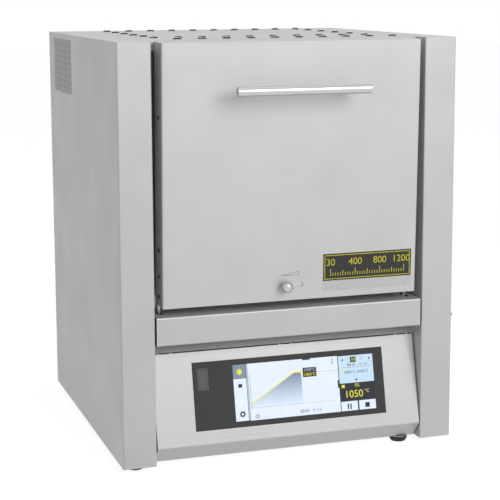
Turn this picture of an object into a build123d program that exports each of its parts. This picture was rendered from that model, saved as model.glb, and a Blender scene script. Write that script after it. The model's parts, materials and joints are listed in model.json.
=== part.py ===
from build123d import *
from math import asin, cos, radians, sin, sqrt
import os

# Chamber, its lining and the space round it: the case is worked out from them
chamber_width = 200
chamber_height = 130
chamber_depth = 170
heater_thickness = 15
side_lining = 40
top_lining = 85
floor_lining = 85
rear_lining = 104
hearth_thickness = 10
hearth_gap = 1
lining_gap = 0.2
collar_depth = 41
collar_rim = 25
rim_depth = 3.3
side_space = 64
rear_space = 64
top_space = 14
rail_height = 10

# Case of folded sheet on four rubber feet
foot_height = 8
sheet = 1
fold_radius = 2
post_width = 42.5
post_return = 40
flange = 12
fixing_clearance = 0.1
side_clearance = 0.3

# Top cover and its pressed vents
cover_gap = 5.2
vent_radius = 7
vent_rise = 2.4
vent_taper = 52
vent_facets = 10
vent_wall = 0.7
vents_in_row = 10
vent_rows = 7
vent_side_margin = 33.5
vent_rear_margin = 47
vent_front_margin = 65

# Rear panel and its slots
rear_margin = 4
air_slot_length = 80
air_slot_width = 4
air_slots = 8
air_slots_drop = 36

# Display glass and the sloping fascia round it
glass_width = 256
glass_height = 85
glass_thickness = 3
glass_offset = 2.5
glass_proud = 0.3
glass_gap = 0.4
glass_above = 14.6
glass_below = 17.8
fascia_gap = 1.5
fascia_setback = 26
fascia_depth = 40
nose_rise = 21
undercut_setback = 18
ledge_rise = 15.7
seam_slot = 1.4
seam_bridge = 2
seam_bridges = (8, 152, 168)

# Display housing and circuit board
module_rim = 8
module_depth = 12
board_width = 170
board_height = 64
board_thickness = 1.6
board_stand = 6
boss_width = 6
processor_width = 24
processor_thickness = 3
relay_can_width = 20
relay_can_depth = 16
connector_width = 12
connector_length = 36
connector_depth = 9

# Port with a hinged flap at the left of the glass
port_width = 14.6
port_height = 28.2
port_inset = 5.5
port_drop = 7.3
port_wall = 1.7
port_depth = 10
flap_thickness = 2
flap_gap = 0.3
flap_pin_radius = 0.6
running_clearance = 0.05
socket_width = 5.7
socket_height = 13.1
socket_depth = 14
socket_wall = 0.3
tongue_thickness = 1.8

# Sill bar, whose top is the shelf below the door
sill_height = 35.8
sill_gap = 2
slot_margin = 2
slot_end_gap = 2.3
slot_run = 23

# Door: it leans out a little at the top and turns about two pins below the shelf
door_side_gap = 10
door_top_gap = 1
door_bottom_gap = 11
door_depth = 34
door_lean = 1.8
face_inset = 1.7
hinge_setback = 16
pivot_drop = 12

# Hinge pins, brackets and goose neck arms
pin_radius = 3
pin_head_radius = 4.5
pin_head = 2.2
plate = 3
arm_half_width = 8
arm_height = 80
arm_back = 16
neck_corner = 4
neck_width = 8.7
neck_drop = 12
stop_gap = 0.3
bar_drop = 2.5
eye_radius = 7
bracket_foot = 26
bracket_half = 11

# Inner tray of the door and its insulation
pan_back = 9
pan_flange = 15
pan_step_gap = 6
board_side_margin = 27.5
board_bottom_margin = 37
board_top_margin = 20
board_back = 23
plug_back = 33
seal_gap = 0.3
air_duct_radius = 6
air_duct_rise = 14

# Handle
handle_radius = 6
handle_length = 170
handle_drop = 57
post_inset = 20
post_radius = 3
grip_gap = 31

# Air inlet slider in the door
slot_length = 28
slot_width = 7
slot_rise = 19.7
slider_length = 60
slider_half_height = 9
slider_thickness = 1.5
slider_travel = 21
stem_radius = 2.5
knob_radius = 7.5
knob_bands = 6
knob_sides = 16
knob_stand = 9.5
guide_thickness = 2
guide_lip = 4
slider_window = 10

# Heating strips laid in the backs of the side plates
strip_width = 4
strip_runs = 6
strip_margin = 14
strip_depth = 1.3
lead_length = 22
terminal_block_width = 16

# Rails and deck below the inner casing
rail_inset = 55
rail_width = 30
deck_drop = 20

# Exhaust and temperature probe
spigot_radius = 15
pipe_radius = 17
exhaust_bore = 12
exhaust_drop = 18
outlet_reach = 25
outlet_plate = 52
probe_radius = 3
probe_reach = 20
probe_offset = 40
probe_head_depth = 28
probe_head_radius = 11

# Parts in the lower compartment
sink_width = 90
sink_depth = 70
sink_base = 8
sink_height = 42
sink_fins = 9
fin_thickness = 2
relay_width = 44
relay_depth = 58
relay_height = 26
contactor_width = 46
contactor_depth = 80
contactor_height = 74
terminal_poles = 5
terminal_pitch = 10
terminal_depth = 30
terminal_height = 24
terminal_well = 5
inlet_width = 28
inlet_height = 24
inlet_depth = 30
inlet_flange = 5
inlet_wall = 3
inlet_offset = 120
inlet_rise = 70
blade_width = 2
blade_height = 8
blade_length = 15

# Mains switch in the right side panel
switch_setback = 19
switch_height = 160
switch_width = 21.6
switch_length = 31
switch_bezel = 1.8
switch_body_depth = 26
rocker_width = 13
rocker_half_length = 10.5
rocker_edge = 7.5
rocker_waist = 5.6
rocker_back = 6
rocker_tilt = 9
rocker_pivot_depth = 2
trunnion_radius = 1.5
trunnion_length = 1.6

# Feet: the left pair stands under the post, the right pair further in
foot_inset_left = 21
foot_inset_right = 62
foot_radius = 12
foot_tip_radius = 9.5
foot_sides = 24
foot_from_front = 27
foot_from_rear = 40

# Heights worked out upwards from the floor
fascia_length = glass_above + glass_height + glass_below
fascia_nose = foot_height + nose_rise
fascia_top = fascia_nose + sqrt(fascia_length**2 - fascia_setback**2)
slope = asin(fascia_setback / fascia_length)
glass_lift = glass_below + glass_height / 2
sill_bottom = fascia_top + ledge_rise
shelf_height = sill_bottom + sill_height
hinge_height = shelf_height - pivot_drop
deck_top = shelf_height - sheet
casing_bottom = deck_top + rail_height
lining_bottom = casing_bottom + sheet
chamber_floor = lining_bottom + floor_lining + hearth_thickness
chamber_top = chamber_floor + chamber_height
exhaust_height = chamber_top - exhaust_drop
lining_top = chamber_top + top_lining
case_top = lining_top + sheet + top_space
case_height = case_top - foot_height
base_top = foot_height + sheet

# Widths worked out from the chamber outwards
lining_half = chamber_width / 2 + heater_thickness + side_lining
case_width = 2 * (lining_half + sheet + side_space)
opening = case_width / 2 - post_width
vent_pitch_across = 2 * (opening - vent_side_margin) / (vents_in_row - 1)
door_width = 2 * (opening - door_side_gap)
arm_outside = door_width / 2 - sheet
arm_inside = arm_outside - plate
bracket_outside = arm_inside - side_clearance
bracket_inside = bracket_outside - plate
foot_left = case_width / 2 - foot_inset_left
foot_right = case_width / 2 - foot_inset_right

# Depths worked out from the front of the posts backwards
hinge_from_front = face_inset + hinge_setback
frame_setback = hinge_from_front + plug_back + rim_depth
collar_back = frame_setback + sheet + collar_depth
chamber_back = collar_back + chamber_depth
lining_back = chamber_back + rear_lining
shell_depth = lining_back + sheet + rear_space
case_depth = shell_depth + sheet
vent_pitch_back = (case_depth - vent_rear_margin - vent_front_margin) / (vent_rows - 1)
neck_front = pivot_drop + stop_gap
neck_back = neck_front + neck_width
slot_back = hinge_from_front + neck_back + slot_end_gap

# Door, measured from its hinge
skin_front = -hinge_setback
skin_inside = skin_front + sheet
skin_back = skin_front + door_depth
skin_bottom = pivot_drop + door_bottom_gap
skin_top = case_top - door_top_gap - hinge_height
door_height = skin_top - skin_bottom
slider_height = skin_bottom + slot_rise
arm_low = skin_bottom + sheet + side_clearance
arm_cut = arm_inside - slot_margin
slider_stem = -slider_travel / 2
air_duct_height = chamber_floor + air_duct_rise - hinge_height
grip_centre = hinge_setback + grip_gap + handle_radius
grip_height = case_top - handle_drop - hinge_height
grip_ahead = grip_centre * cos(radians(door_lean)) + grip_height * sin(radians(door_lean))
post_places = (post_inset - handle_length / 2, handle_length / 2 - post_inset)

# The origin lies on the floor under the middle of the overall box
handle_reach = grip_ahead - hinge_from_front + handle_radius
total_depth = handle_reach + case_depth + outlet_reach
front_y = handle_reach - total_depth / 2
shell_back = front_y + shell_depth
rear_y = front_y + case_depth
hinge_y = front_y + hinge_from_front
cover_setback = (
    hinge_from_front
    + skin_back * cos(radians(door_lean))
    - skin_top * sin(radians(door_lean))
    + cover_gap
)

door_place = Pos(0, hinge_y, hinge_height) * Rot(door_lean, 0, 0)
fascia_plane = Plane(
    origin=(0, front_y, fascia_nose), x_dir=(1, 0, 0), z_dir=(0, -cos(slope), sin(slope))
)
fascia_place = fascia_plane.location


def behind(distance):
    """Y of a point that lies this far behind the front of the posts"""
    return front_y + distance


def block(x, y, z):
    """Box between two corners, given as pairs along each axis"""
    size = (x[1] - x[0], y[1] - y[0], z[1] - z[0])
    return Pos(sum(x) / 2, sum(y) / 2, sum(z) / 2) * Box(*size)


def rod_x(radius, x, y, z):
    return Pos(sum(x) / 2, y, z) * Rot(0, 90, 0) * Cylinder(radius, x[1] - x[0])


def rod_y(radius, x, y, z):
    return Pos(x, sum(y) / 2, z) * Rot(90, 0, 0) * Cylinder(radius, y[1] - y[0])


def side_profile(points, x):
    """Prism along X from an outline of points in Y and Z"""
    face = Plane.YZ * make_face(Polyline(*points, close=True))
    return Pos(x[0], 0, 0) * extrude(face, x[1] - x[0], dir=(1, 0, 0))


def other_side(part):
    return mirror(part, about=Plane.YZ)


def both_sides(part):
    return Compound(children=[part, other_side(part)])


def group(parts):
    """Separate solids that share one node"""
    return Compound(children=list(parts))


def folded_box(width, depth, height, fold):
    """Closed box of sheet round the origin; its edges along the fold axis are rounded"""
    outer = Box(width, depth, height)
    hollow = Box(width - 2 * sheet, depth - 2 * sheet, height - 2 * sheet)
    if fold:
        outer = fillet(outer.edges().filter_by(fold), fold_radius)
        hollow = fillet(hollow.edges().filter_by(fold), fold_radius - sheet)
    return outer - hollow


def folded_tray(width, depth, height, fold=None):
    """Sheet with four edges folded down, its top face on the plane Z = 0"""
    tall = 2 * height
    below = Pos(0, 0, -height - tall / 2) * Box(2 * width, 2 * depth, tall)
    return Pos(0, 0, -tall / 2) * folded_box(width, depth, tall, fold) - below


# Case


def side_shell():
    """Left side: outer wall, front post, top and bottom flanges as one folded sheet"""
    shell = folded_box(post_width, shell_depth, case_height, Axis.Z)
    window_depth = shell_depth - post_return - flange
    window = Box(4 * sheet, window_depth, case_height - 2 * flange)
    shell -= Pos(post_width / 2, (post_return - flange) / 2, 0) * window
    middle = foot_height + case_height / 2
    return Pos(-(opening + post_width / 2), front_y + shell_depth / 2, middle) * shell


def side_panel_right():
    """Right side, the same sheet the other way round, with the mains switch's hole"""
    wall = (case_width / 2 - 2 * sheet, case_width / 2 + sheet)
    y = behind(switch_setback)
    half = switch_width / 2 + fixing_clearance - switch_bezel
    tall = switch_length / 2 + fixing_clearance - switch_bezel
    cut = block(wall, (y - half, y + half), (switch_height - tall, switch_height + tall))
    return other_side(side_shell()) - cut


def vent_places():
    """Full rows of vents at the back and front, and one vent at each end between them"""
    half_row = (vents_in_row - 1) / 2
    for row in range(vent_rows):
        y = rear_y - vent_rear_margin - row * vent_pitch_back
        stagger = vent_pitch_across / 2 if row == vent_rows - 1 else 0
        full = row in (0, vent_rows - 2, vent_rows - 1)
        for i in range(vents_in_row) if full else (0, vents_in_row - 1):
            yield (i - half_row) * vent_pitch_across + stagger, y


def vent_bump(inset):
    """Rear half of a round bump that narrows upwards, smaller all round by the inset"""
    outline = RegularPolygon(vent_radius - inset, vent_facets)
    bump = extrude(outline, vent_rise - inset, taper=vent_taper)
    if inset:
        bump += extrude(outline, -2 * sheet)
    size = 2 * vent_radius
    return bump & Pos(0, size / 2, 0) * Box(2 * size, size, 2 * size)


def top_cover():
    """Cover between the side flanges, with half moon vents pressed up and open in front"""
    depth = shell_depth - cover_setback
    cover = folded_tray(2 * opening, depth, flange, Axis.X)
    cover = Pos(0, behind(cover_setback) + depth / 2, case_top) * cover
    places = [Pos(x, y, case_top) for x, y in vent_places()]
    bump = vent_bump(0)
    hollow = vent_bump(vent_wall * sheet)
    cover += [place * bump for place in places]
    return cover - [place * hollow for place in places]


def rear_panel():
    half = case_width / 2 - rear_margin
    z = (foot_height + rear_margin, case_top - rear_margin)
    panel = block((-half, half), (shell_back, rear_y), z)
    through = (shell_back - sheet, rear_y + sheet)
    panel -= rod_y(pipe_radius + fixing_clearance, 0, through, exhaust_height)
    panel -= inlet_cut(through)
    x = (-air_slot_length / 2, air_slot_length / 2)
    for i in range(air_slots):
        low = deck_top - air_slots_drop - 2 * i * air_slot_width
        panel -= block(x, through, (low, low + air_slot_width))
    return panel


def base_plate():
    """Tray between the side flanges, with slots that let cool air in"""
    depth = shell_depth - fascia_depth
    tray = Rot(180, 0, 0) * folded_tray(2 * opening, depth, flange)
    tray = Pos(0, behind(fascia_depth) + depth / 2, foot_height) * tray
    x = (-air_slot_length / 2, air_slot_length / 2)
    z = (foot_height - sheet, foot_height + 2 * sheet)
    for i in range(air_slots):
        y = rear_y - foot_from_rear - foot_radius - 3 * (i + 1) * air_slot_width
        tray -= block(x, (y, y + air_slot_width), z)
    return tray


def foot():
    """Round rubber foot, narrower below"""
    rings = [(foot_tip_radius, 0), (foot_radius, foot_height / 2), (foot_radius, foot_height)]
    return loft([Pos(0, 0, z) * RegularPolygon(r, foot_sides) for r, z in rings], ruled=True)


def rubber_feet():
    feet = []
    for y in (behind(foot_from_front), rear_y - foot_from_rear):
        feet += [Pos(-foot_left, y, 0) * foot(), Pos(foot_right, y, 0) * foot()]
    return group(feet)


# Sill and control fascia


def sill_bar():
    """Shelf, front and lower return folded from one sheet, slotted for the door's arms"""
    line = FilletPolyline(
        (behind(frame_setback), shelf_height),
        (front_y, shelf_height),
        (front_y, sill_bottom),
        (behind(frame_setback), sill_bottom),
        radius=fold_radius,
    )
    strip = offset(line, amount=sheet, side=Side.LEFT, closed=True)
    face = Plane.YZ * make_face(strip.edges())
    half = opening - sill_gap
    bar = Pos(-half, 0, 0) * extrude(face, 2 * half, dir=(1, 0, 0))
    x = (arm_cut, arm_outside + slot_margin)
    y = (behind(slot_back - slot_run), behind(slot_back))
    slot = block(x, y, (shelf_height - 2 * sheet, shelf_height + sheet))
    return bar - slot - other_side(slot)


def sill_gussets():
    """Triangular plates that tie the sill bar to the fascia beside the posts"""
    outline = [
        (behind(fold_radius), sill_bottom),
        (behind(fascia_setback), fascia_top),
        (behind(fascia_setback + ledge_rise), sill_bottom),
    ]
    x = opening - fascia_gap
    return both_sides(side_profile(outline, (x, x + sheet)))


def fascia_outline():
    return [
        (behind(frame_setback), sill_bottom),
        (behind(fascia_setback + ledge_rise), sill_bottom),
        (behind(fascia_setback), fascia_top),
        (front_y, fascia_nose),
        (behind(undercut_setback), foot_height),
        (behind(fascia_depth), foot_height),
        (behind(fascia_depth), foot_height + flange),
    ]


def control_fascia():
    """Sloping front of the lower compartment: ledge, display face and undercut"""
    half = opening - fascia_gap
    line = FilletPolyline(*fascia_outline(), radius=fold_radius)
    strip = offset(line, amount=sheet, side=Side.LEFT, closed=True)
    face = Plane.YZ * make_face(strip.edges())
    fascia = Pos(-half, 0, 0) * extrude(face, 2 * half, dir=(1, 0, 0))
    ledge = (behind(fascia_depth), fascia_top + fascia_depth - fascia_setback)
    end = side_profile([*fascia_outline()[2:-1], ledge], (half - sheet, half))
    fascia += [end, other_side(end)]
    marks = sorted([-x for x in seam_bridges] + list(seam_bridges))
    edges = [-half + sheet] + marks + [half - sheet]
    y = behind(fascia_setback)
    z = fascia_top - seam_slot / 2
    for left, right in zip(edges, edges[1:]):
        x = (left + seam_bridge / 2, right - seam_bridge / 2)
        fascia -= block(x, (y - fold_radius, y + 2 * sheet), (z, z + seam_slot))
    cut = Box(glass_width + 2 * glass_gap, glass_height + 2 * glass_gap, 6 * sheet)
    return fascia - fascia_place * Pos(glass_offset, glass_lift, 0) * cut


def on_glass(x, rise, out):
    """Place on the display: from the middle of the glass, up the slope and outwards"""
    return fascia_place * Pos(glass_offset + x, glass_lift + rise, out)


def port_centre(out):
    x = -glass_width / 2 + port_inset + port_width / 2
    rise = glass_height / 2 - port_drop - port_height / 2
    return on_glass(x, rise, out)


def port_hole(clearance, thickness, out):
    size = (port_width + 2 * clearance, port_height + 2 * clearance, thickness)
    return port_centre(out - thickness / 2) * Box(*size)


def display_glass():
    out = glass_proud - glass_thickness / 2
    glass = on_glass(0, 0, out) * Box(glass_width, glass_height, glass_thickness)
    return glass - port_hole(glass_gap, 2 * glass_thickness, glass_thickness)


def display_module():
    """Screen housing behind the fascia, which also carries the glass and the board"""
    size = (glass_width + 2 * module_rim, glass_height + 2 * module_rim)
    depth = module_depth - sheet
    module = on_glass(0, 0, -sheet - depth / 2) * Box(*size, depth)
    pocket = Box(glass_width + 2 * glass_gap, glass_height + 2 * glass_gap, 2 * module_depth)
    floor = glass_proud - glass_thickness
    module -= on_glass(0, 0, floor + module_depth) * pocket
    for x in (-1, 1):
        for rise in (-1, 1):
            corner = (x * (board_width / 2 - boss_width), rise * (board_height / 2 - boss_width))
            boss = Box(boss_width, boss_width, board_stand)
            module += on_glass(*corner, -module_depth - board_stand / 2) * boss
    return module - port_hole(glass_gap, 4 * module_depth, module_depth)


def controller_board():
    """Circuit board with a processor, a relay and two connectors"""
    back = -module_depth - board_stand - board_thickness
    middle = back + board_thickness / 2
    board = on_glass(0, 0, middle) * Box(board_width, board_height, board_thickness)
    edge = board_width / 2 - connector_width
    chips = [
        (-board_width / 6, board_height / 8, processor_width, processor_width, processor_thickness),
        (board_width / 6, -board_height / 6, relay_can_width, relay_can_width, relay_can_depth),
        (edge, 0, connector_width, connector_length, connector_depth),
        (-edge, 0, connector_width, connector_length, connector_depth),
    ]
    for x, rise, width, height, depth in chips:
        board += on_glass(x, rise, back - depth / 2) * Box(width, height, depth)
    return board


def port_frame():
    """Frame let into the glass; its side walls carry the flap's pins"""
    depth = port_depth + glass_proud
    frame = port_centre(glass_proud - depth / 2) * Box(port_width, port_height, depth)
    size = (port_width - 2 * port_wall, port_height - 2 * port_wall, 4 * port_depth)
    frame -= port_centre(0) * Box(*size)
    hole = Rot(0, 90, 0) * Cylinder(flap_pin_radius + running_clearance, 2 * port_width)
    return frame - flap_axis() * hole


def flap_axis():
    """Middle of the flap's hinge, near the top of the port"""
    rise = port_height / 2 - port_wall - flap_gap - flap_thickness / 2
    return port_centre(glass_proud - flap_thickness / 2) * Pos(0, rise, 0)


def port_flap():
    """Flap with a round hinge end, pins and a finger lip"""
    width = port_width - 2 * port_wall - 2 * flap_gap
    height = port_height - 2 * port_wall - 2 * flap_gap - flap_thickness / 2
    flap = Pos(0, -height / 2, 0) * Box(width, height, flap_thickness)
    flap += Rot(0, 90, 0) * Cylinder(flap_thickness / 2, width)
    lip = Box(width, flap_thickness / 2, flap_thickness / 2)
    flap += Pos(0, -height + flap_thickness / 4, 3 * flap_thickness / 4) * lip
    flap += Rot(0, 90, 0) * Cylinder(flap_pin_radius, port_width - port_wall)
    return flap_axis() * flap


def port_socket():
    """Metal socket behind the port, standing upright, with its tongue"""
    shell = Box(socket_width, socket_height, socket_depth)
    inner = (socket_width - 2 * socket_wall, socket_height - 2 * socket_wall, socket_depth)
    shell -= Pos(0, 0, socket_wall) * Box(*inner)
    tongue = Box(tongue_thickness, socket_height - 4 * socket_wall, socket_depth - 2)
    shell += Pos(socket_wall - socket_width / 4, 0, -1) * tongue
    brim = Box(port_width - port_wall, port_height - port_wall, sheet)
    brim -= Box(socket_width - socket_wall, socket_height - socket_wall, 2 * sheet)
    shell += Pos(0, 0, (socket_depth - sheet) / 2) * brim
    return port_centre(-port_depth - socket_depth / 2) * shell


# Hinges


def hinge_brackets():
    """Angles below the shelf that carry the door's pins"""
    top = pivot_drop - sheet
    y = (-bracket_half, bracket_half)
    bracket = block((bracket_inside, bracket_outside), y, (0, top))
    bracket += rod_x(bracket_half, (bracket_inside, bracket_outside), 0, 0)
    bracket += block((bracket_inside - bracket_foot, bracket_outside), y, (top - plate, top))
    bracket &= block((0, bracket_outside), y, (-bracket_half, top))
    hole = pin_radius + running_clearance
    bracket -= rod_x(hole, (bracket_inside - 1, bracket_outside + 1), 0, 0)
    return both_sides(Pos(0, hinge_y, hinge_height) * bracket)


def hinge_arms():
    """Goose necks inside the door's sides, which reach through the shelf to the pins"""
    x = (arm_inside, arm_outside)
    outline = [
        (-arm_half_width, arm_height),
        (arm_back, arm_height),
        (arm_back, arm_low + neck_back - arm_back),
        (neck_back, arm_low),
        (neck_back, neck_corner - neck_drop),
        (neck_back - neck_corner, -neck_drop),
        (0, -eye_radius),
        (0, -bar_drop),
        (neck_front, -bar_drop),
        (neck_front, arm_low),
        (-arm_half_width, arm_low),
    ]
    arm = side_profile(outline, x) + rod_x(eye_radius, x, 0, 0)
    arm -= rod_x(pin_radius + fixing_clearance, (x[0] - 1, x[1] + 1), 0, 0)
    return door_place * both_sides(arm)


def hex_head(x):
    """Six sided head or nut on the hinge's axis, between two places along X"""
    head = extrude(RegularPolygon(pin_head_radius, 6), x[1] - x[0])
    return Pos(x[0], 0, 0) * Rot(0, 90, 0) * head


def hinge_pins():
    """Shoulder bolts through the arms, which turn in the brackets, with their nuts"""
    nut = (bracket_inside - side_clearance - pin_head, bracket_inside - side_clearance)
    pin = rod_x(pin_radius, (nut[0], arm_outside), 0, 0)
    pin += hex_head((arm_outside, arm_outside + pin_head))
    return door_place * both_sides(pin + hex_head(nut))


# Door


def door_skin():
    """Outer shell of the door: one sheet with four edges folded back"""
    skin = Rot(90, 0, 0) * folded_tray(door_width, door_height, door_depth, Axis.Y)
    skin = Pos(0, skin_front, (skin_top + skin_bottom) / 2) * skin
    y = (neck_front - slot_margin, skin_back + sheet)
    notch = block((arm_cut, arm_outside), y, (skin_bottom - sheet, arm_low))
    skin -= notch
    skin -= other_side(notch)
    slot = extrude(SlotOverall(slot_length, slot_width), 4 * sheet, both=True)
    return door_place * (skin - Pos(0, skin_front, slider_height) * Rot(90, 0, 0) * slot)


def door_pan():
    """Inner tray of the door, stepped in at its foot to clear the hinges"""
    width = 2 * arm_outside
    low = skin_bottom + sheet
    high = skin_top - sheet
    pan = Rot(-90, 0, 0) * folded_tray(width, high - low, pan_flange)
    pan = Pos(0, pan_back, (low + high) / 2) * pan
    z = (low - sheet, arm_height + pan_step_gap)
    step = block((arm_cut, width), (-width, width), z)
    pan -= step
    pan -= other_side(step)
    return door_place * (pan - air_duct(pan_back - sheet, pan_back))


def air_duct(front, back):
    """Hole through the door's layers that lets the slider's air into the chamber"""
    return rod_y(air_duct_radius, 0, (front - sheet, back + sheet), air_duct_height)


def door_insulation():
    half = door_width / 2 - board_side_margin
    z = (skin_bottom + board_bottom_margin, skin_top - board_top_margin)
    insulation = block((-half, half), (pan_back, board_back), z)
    return door_place * (insulation - air_duct(pan_back, board_back))


def door_plug():
    """Face of the door that closes the mouth of the chamber"""
    half = chamber_width / 2 + collar_rim
    low = chamber_floor - collar_rim - hinge_height
    high = chamber_top + collar_rim - hinge_height
    plug = block((-half, half), (board_back, plug_back), (low, high))
    return door_place * (plug - air_duct(board_back, plug_back))


def plain_handle():
    x = (-handle_length / 2, handle_length / 2)
    return rod_x(handle_radius, x, -grip_centre, grip_height)


def handle_bar():
    bar = plain_handle()
    return door_place * chamfer(bar.edges().filter_by(GeomType.CIRCLE), handle_radius / 12)


def handle_posts():
    y = (-grip_centre, skin_front)
    posts = [rod_y(post_radius, x, y, grip_height) - plain_handle() for x in post_places]
    return door_place * group(posts)


def air_slider():
    """Shutter plate behind the slot, with the stem of its knob"""
    x = slider_stem
    y = skin_inside + side_clearance
    z = (slider_height - slider_half_height, slider_height + slider_half_height)
    ends = (x - slider_length / 2, x + slider_length / 2)
    slider = block(ends, (y, y + slider_thickness), z)
    window = x - slider_travel
    slot = (slider_height - slot_width / 2, slider_height + slot_width / 2)
    half = slider_window / 2
    slider -= block((window - half, window + half), (y - 1, y + 2 * slider_thickness), slot)
    slider += rod_y(stem_radius, x, (skin_front - knob_stand, y), slider_height)
    return door_place * slider


def slider_knob():
    """Ball knob, made of a few flat bands, on the end of the stem"""
    turns = [radians(180 * (i + 0.5) / knob_bands) for i in range(knob_bands)]
    rings = []
    for turn in turns:
        ring = RegularPolygon(knob_radius * sin(turn), knob_sides)
        rings.append(Pos(0, 0, knob_radius * cos(turn)) * ring)
    ball = Rot(90, 0, 0) * loft(rings, ruled=True)
    ball = Pos(slider_stem, skin_front - knob_stand, slider_height) * ball
    stem = (skin_front - knob_stand, skin_front)
    return door_place * (ball - rod_y(stem_radius, slider_stem, stem, slider_height))


def slider_guides():
    """Angles on the inside of the door skin that hold the shutter plate"""
    half = slider_length / 2 + slider_travel / 2
    edge = slider_half_height + side_clearance
    back = skin_inside + slider_thickness + 2 * side_clearance
    wall = (skin_inside, back + sheet)
    guides = []
    for way in (-1, 1):
        near = slider_height + way * (edge - guide_lip)
        middle = slider_height + way * edge
        far = slider_height + way * (edge + guide_thickness)
        guide = block((-half, half), wall, sorted((middle, far)))
        guides.append(guide + block((-half, half), (back, back + sheet), sorted((near, middle))))
    return door_place * group(guides)


# Chamber, lining and inner casing


def door_plane_cut():
    """Everything in front of the leaning plane on which the closed door seals"""
    reach = case_height
    far = plug_back + seal_gap
    return door_place * block((-reach, reach), (far - reach, far), (-reach, reach))


def mouth_collar():
    """Front lining with the mouth; its rim leans like the closed door"""
    half = chamber_width / 2 + collar_rim
    low = chamber_floor - collar_rim
    high = chamber_top + collar_rim
    rim = block((-half, half), (front_y, behind(frame_setback + sheet)), (low, high))
    rim -= door_plane_cut()
    body = (behind(frame_setback + sheet), behind(collar_back))
    collar = rim + block((-lining_half, lining_half), body, (lining_bottom, lining_top))
    mouth = (-chamber_width / 2, chamber_width / 2)
    return collar - block(mouth, (front_y, rear_y), (chamber_floor, chamber_top))


def lining_y():
    return (behind(collar_back), behind(lining_back))


def side_linings():
    x = (lining_half - side_lining, lining_half)
    return both_sides(block(x, lining_y(), (lining_bottom, lining_top)))


def top_lining_board():
    half = lining_half - side_lining
    return block((-half, half), lining_y(), (chamber_top, lining_top))


def floor_lining_board():
    half = lining_half - side_lining
    return block((-half, half), lining_y(), (lining_bottom, lining_bottom + floor_lining))


def rear_lining_board():
    """Rear wall of the chamber, bored for the exhaust and the probe, cut for the strips"""
    half = lining_half - side_lining
    y = (behind(chamber_back), behind(lining_back))
    board = block((-half, half), y, (chamber_floor - hearth_thickness, chamber_top))
    through = (y[0] - 1, y[1] + 1)
    board -= rod_y(exhaust_bore, 0, through, exhaust_height)
    board -= rod_y(probe_radius + fixing_clearance, probe_offset, through, probe_height())
    return board - lead_cuts(through)


def probe_height():
    return chamber_floor + chamber_height / 2


def hearth_plate():
    half = chamber_width / 2 - hearth_gap
    z = (chamber_floor - hearth_thickness, chamber_floor)
    y = (behind(collar_back) + hearth_gap, behind(chamber_back) - hearth_gap)
    return block((-half, half), y, z)


def strip_heights():
    low = chamber_floor - hearth_thickness + strip_margin
    step = (chamber_top - strip_margin - low) / (strip_runs - 1)
    return [low + i * step for i in range(strip_runs)]


def lead_heights():
    return (strip_heights()[0], strip_heights()[-1])


def strip_x(clearance):
    """X of the strip in the right hand plate, with room on its inner side"""
    back = chamber_width / 2 + heater_thickness
    return (back - strip_depth - clearance, back)


def strip_blocks(clearance):
    """Zigzag of the right hand strip: level runs, and turns at alternate ends"""
    half = strip_width / 2 + clearance
    near = behind(collar_back + strip_margin)
    far = behind(chamber_back - strip_margin)
    heights = strip_heights()
    blocks = []
    for z in heights:
        end = behind(lining_back) + lead_length if z in lead_heights() else far
        y = (near - half, end + (0 if z in lead_heights() else half))
        blocks.append(block(strip_x(clearance), y, (z - half, z + half)))
    for i, (low, high) in enumerate(zip(heights, heights[1:])):
        y = far if i % 2 else near
        blocks.append(block(strip_x(clearance), (y - half, y + half), (low, high)))
    return blocks


def lead_cuts(y):
    """Openings that both strips' ends pass through"""
    half = strip_width / 2 + lining_gap
    x = strip_x(lining_gap)
    cuts = [block(x, y, (z - half, z + half)) for z in lead_heights()]
    return cuts + [other_side(cut) for cut in cuts]


def heating_strips():
    """Flat strip of each side plate, with both ends led out at the rear"""
    strip, *rest = strip_blocks(0)
    return both_sides(strip + rest)


def heating_plate_right():
    """Ceramic side plate with its strip let into the back"""
    x = (chamber_width / 2, chamber_width / 2 + heater_thickness)
    y = (behind(collar_back), behind(chamber_back))
    plate_block = block(x, y, (chamber_floor - hearth_thickness, chamber_top))
    return plate_block - strip_blocks(lining_gap)


def heating_plate_left():
    return other_side(heating_plate_right())


def front_frame():
    """Bright sheet around the mouth, with side flanges inside the posts"""
    high = case_top - flange
    depth = frame_setback - cover_setback
    frame = Rot(-90, 0, 0) * folded_tray(2 * opening, high - shelf_height, depth)
    frame = Pos(0, behind(frame_setback + sheet), (high + shelf_height) / 2) * frame
    margin = collar_rim + fixing_clearance
    half = chamber_width / 2 + margin
    z = (chamber_floor - margin, chamber_top + margin)
    frame -= block((-half, half), (front_y, rear_y), z)
    below = (foot_height, shelf_height + 2 * sheet)
    return frame - block((-opening, opening), (front_y, behind(frame_setback)), below)


def casing_wrap():
    """Inner casing around the lining: two sides and the top from one sheet"""
    outer = lining_half + sheet
    y = (behind(frame_setback + sheet), behind(lining_back))
    wrap = block((-outer, outer), y, (lining_bottom, lining_top + sheet))
    return wrap - block((-lining_half, lining_half), (front_y, rear_y), (0, lining_top))


def casing_floor():
    outer = lining_half + sheet
    y = (behind(frame_setback + sheet), behind(lining_back))
    return block((-outer, outer), y, (casing_bottom, lining_bottom))


def casing_back():
    outer = lining_half + sheet
    y = (behind(lining_back), behind(lining_back) + sheet)
    panel = block((-outer, outer), y, (casing_bottom, lining_top + sheet))
    through = (y[0] - 1, y[1] + 1)
    panel -= rod_y(exhaust_bore, 0, through, exhaust_height)
    panel -= rod_y(probe_radius + fixing_clearance, probe_offset, through, probe_height())
    return panel - lead_cuts(through)


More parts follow.
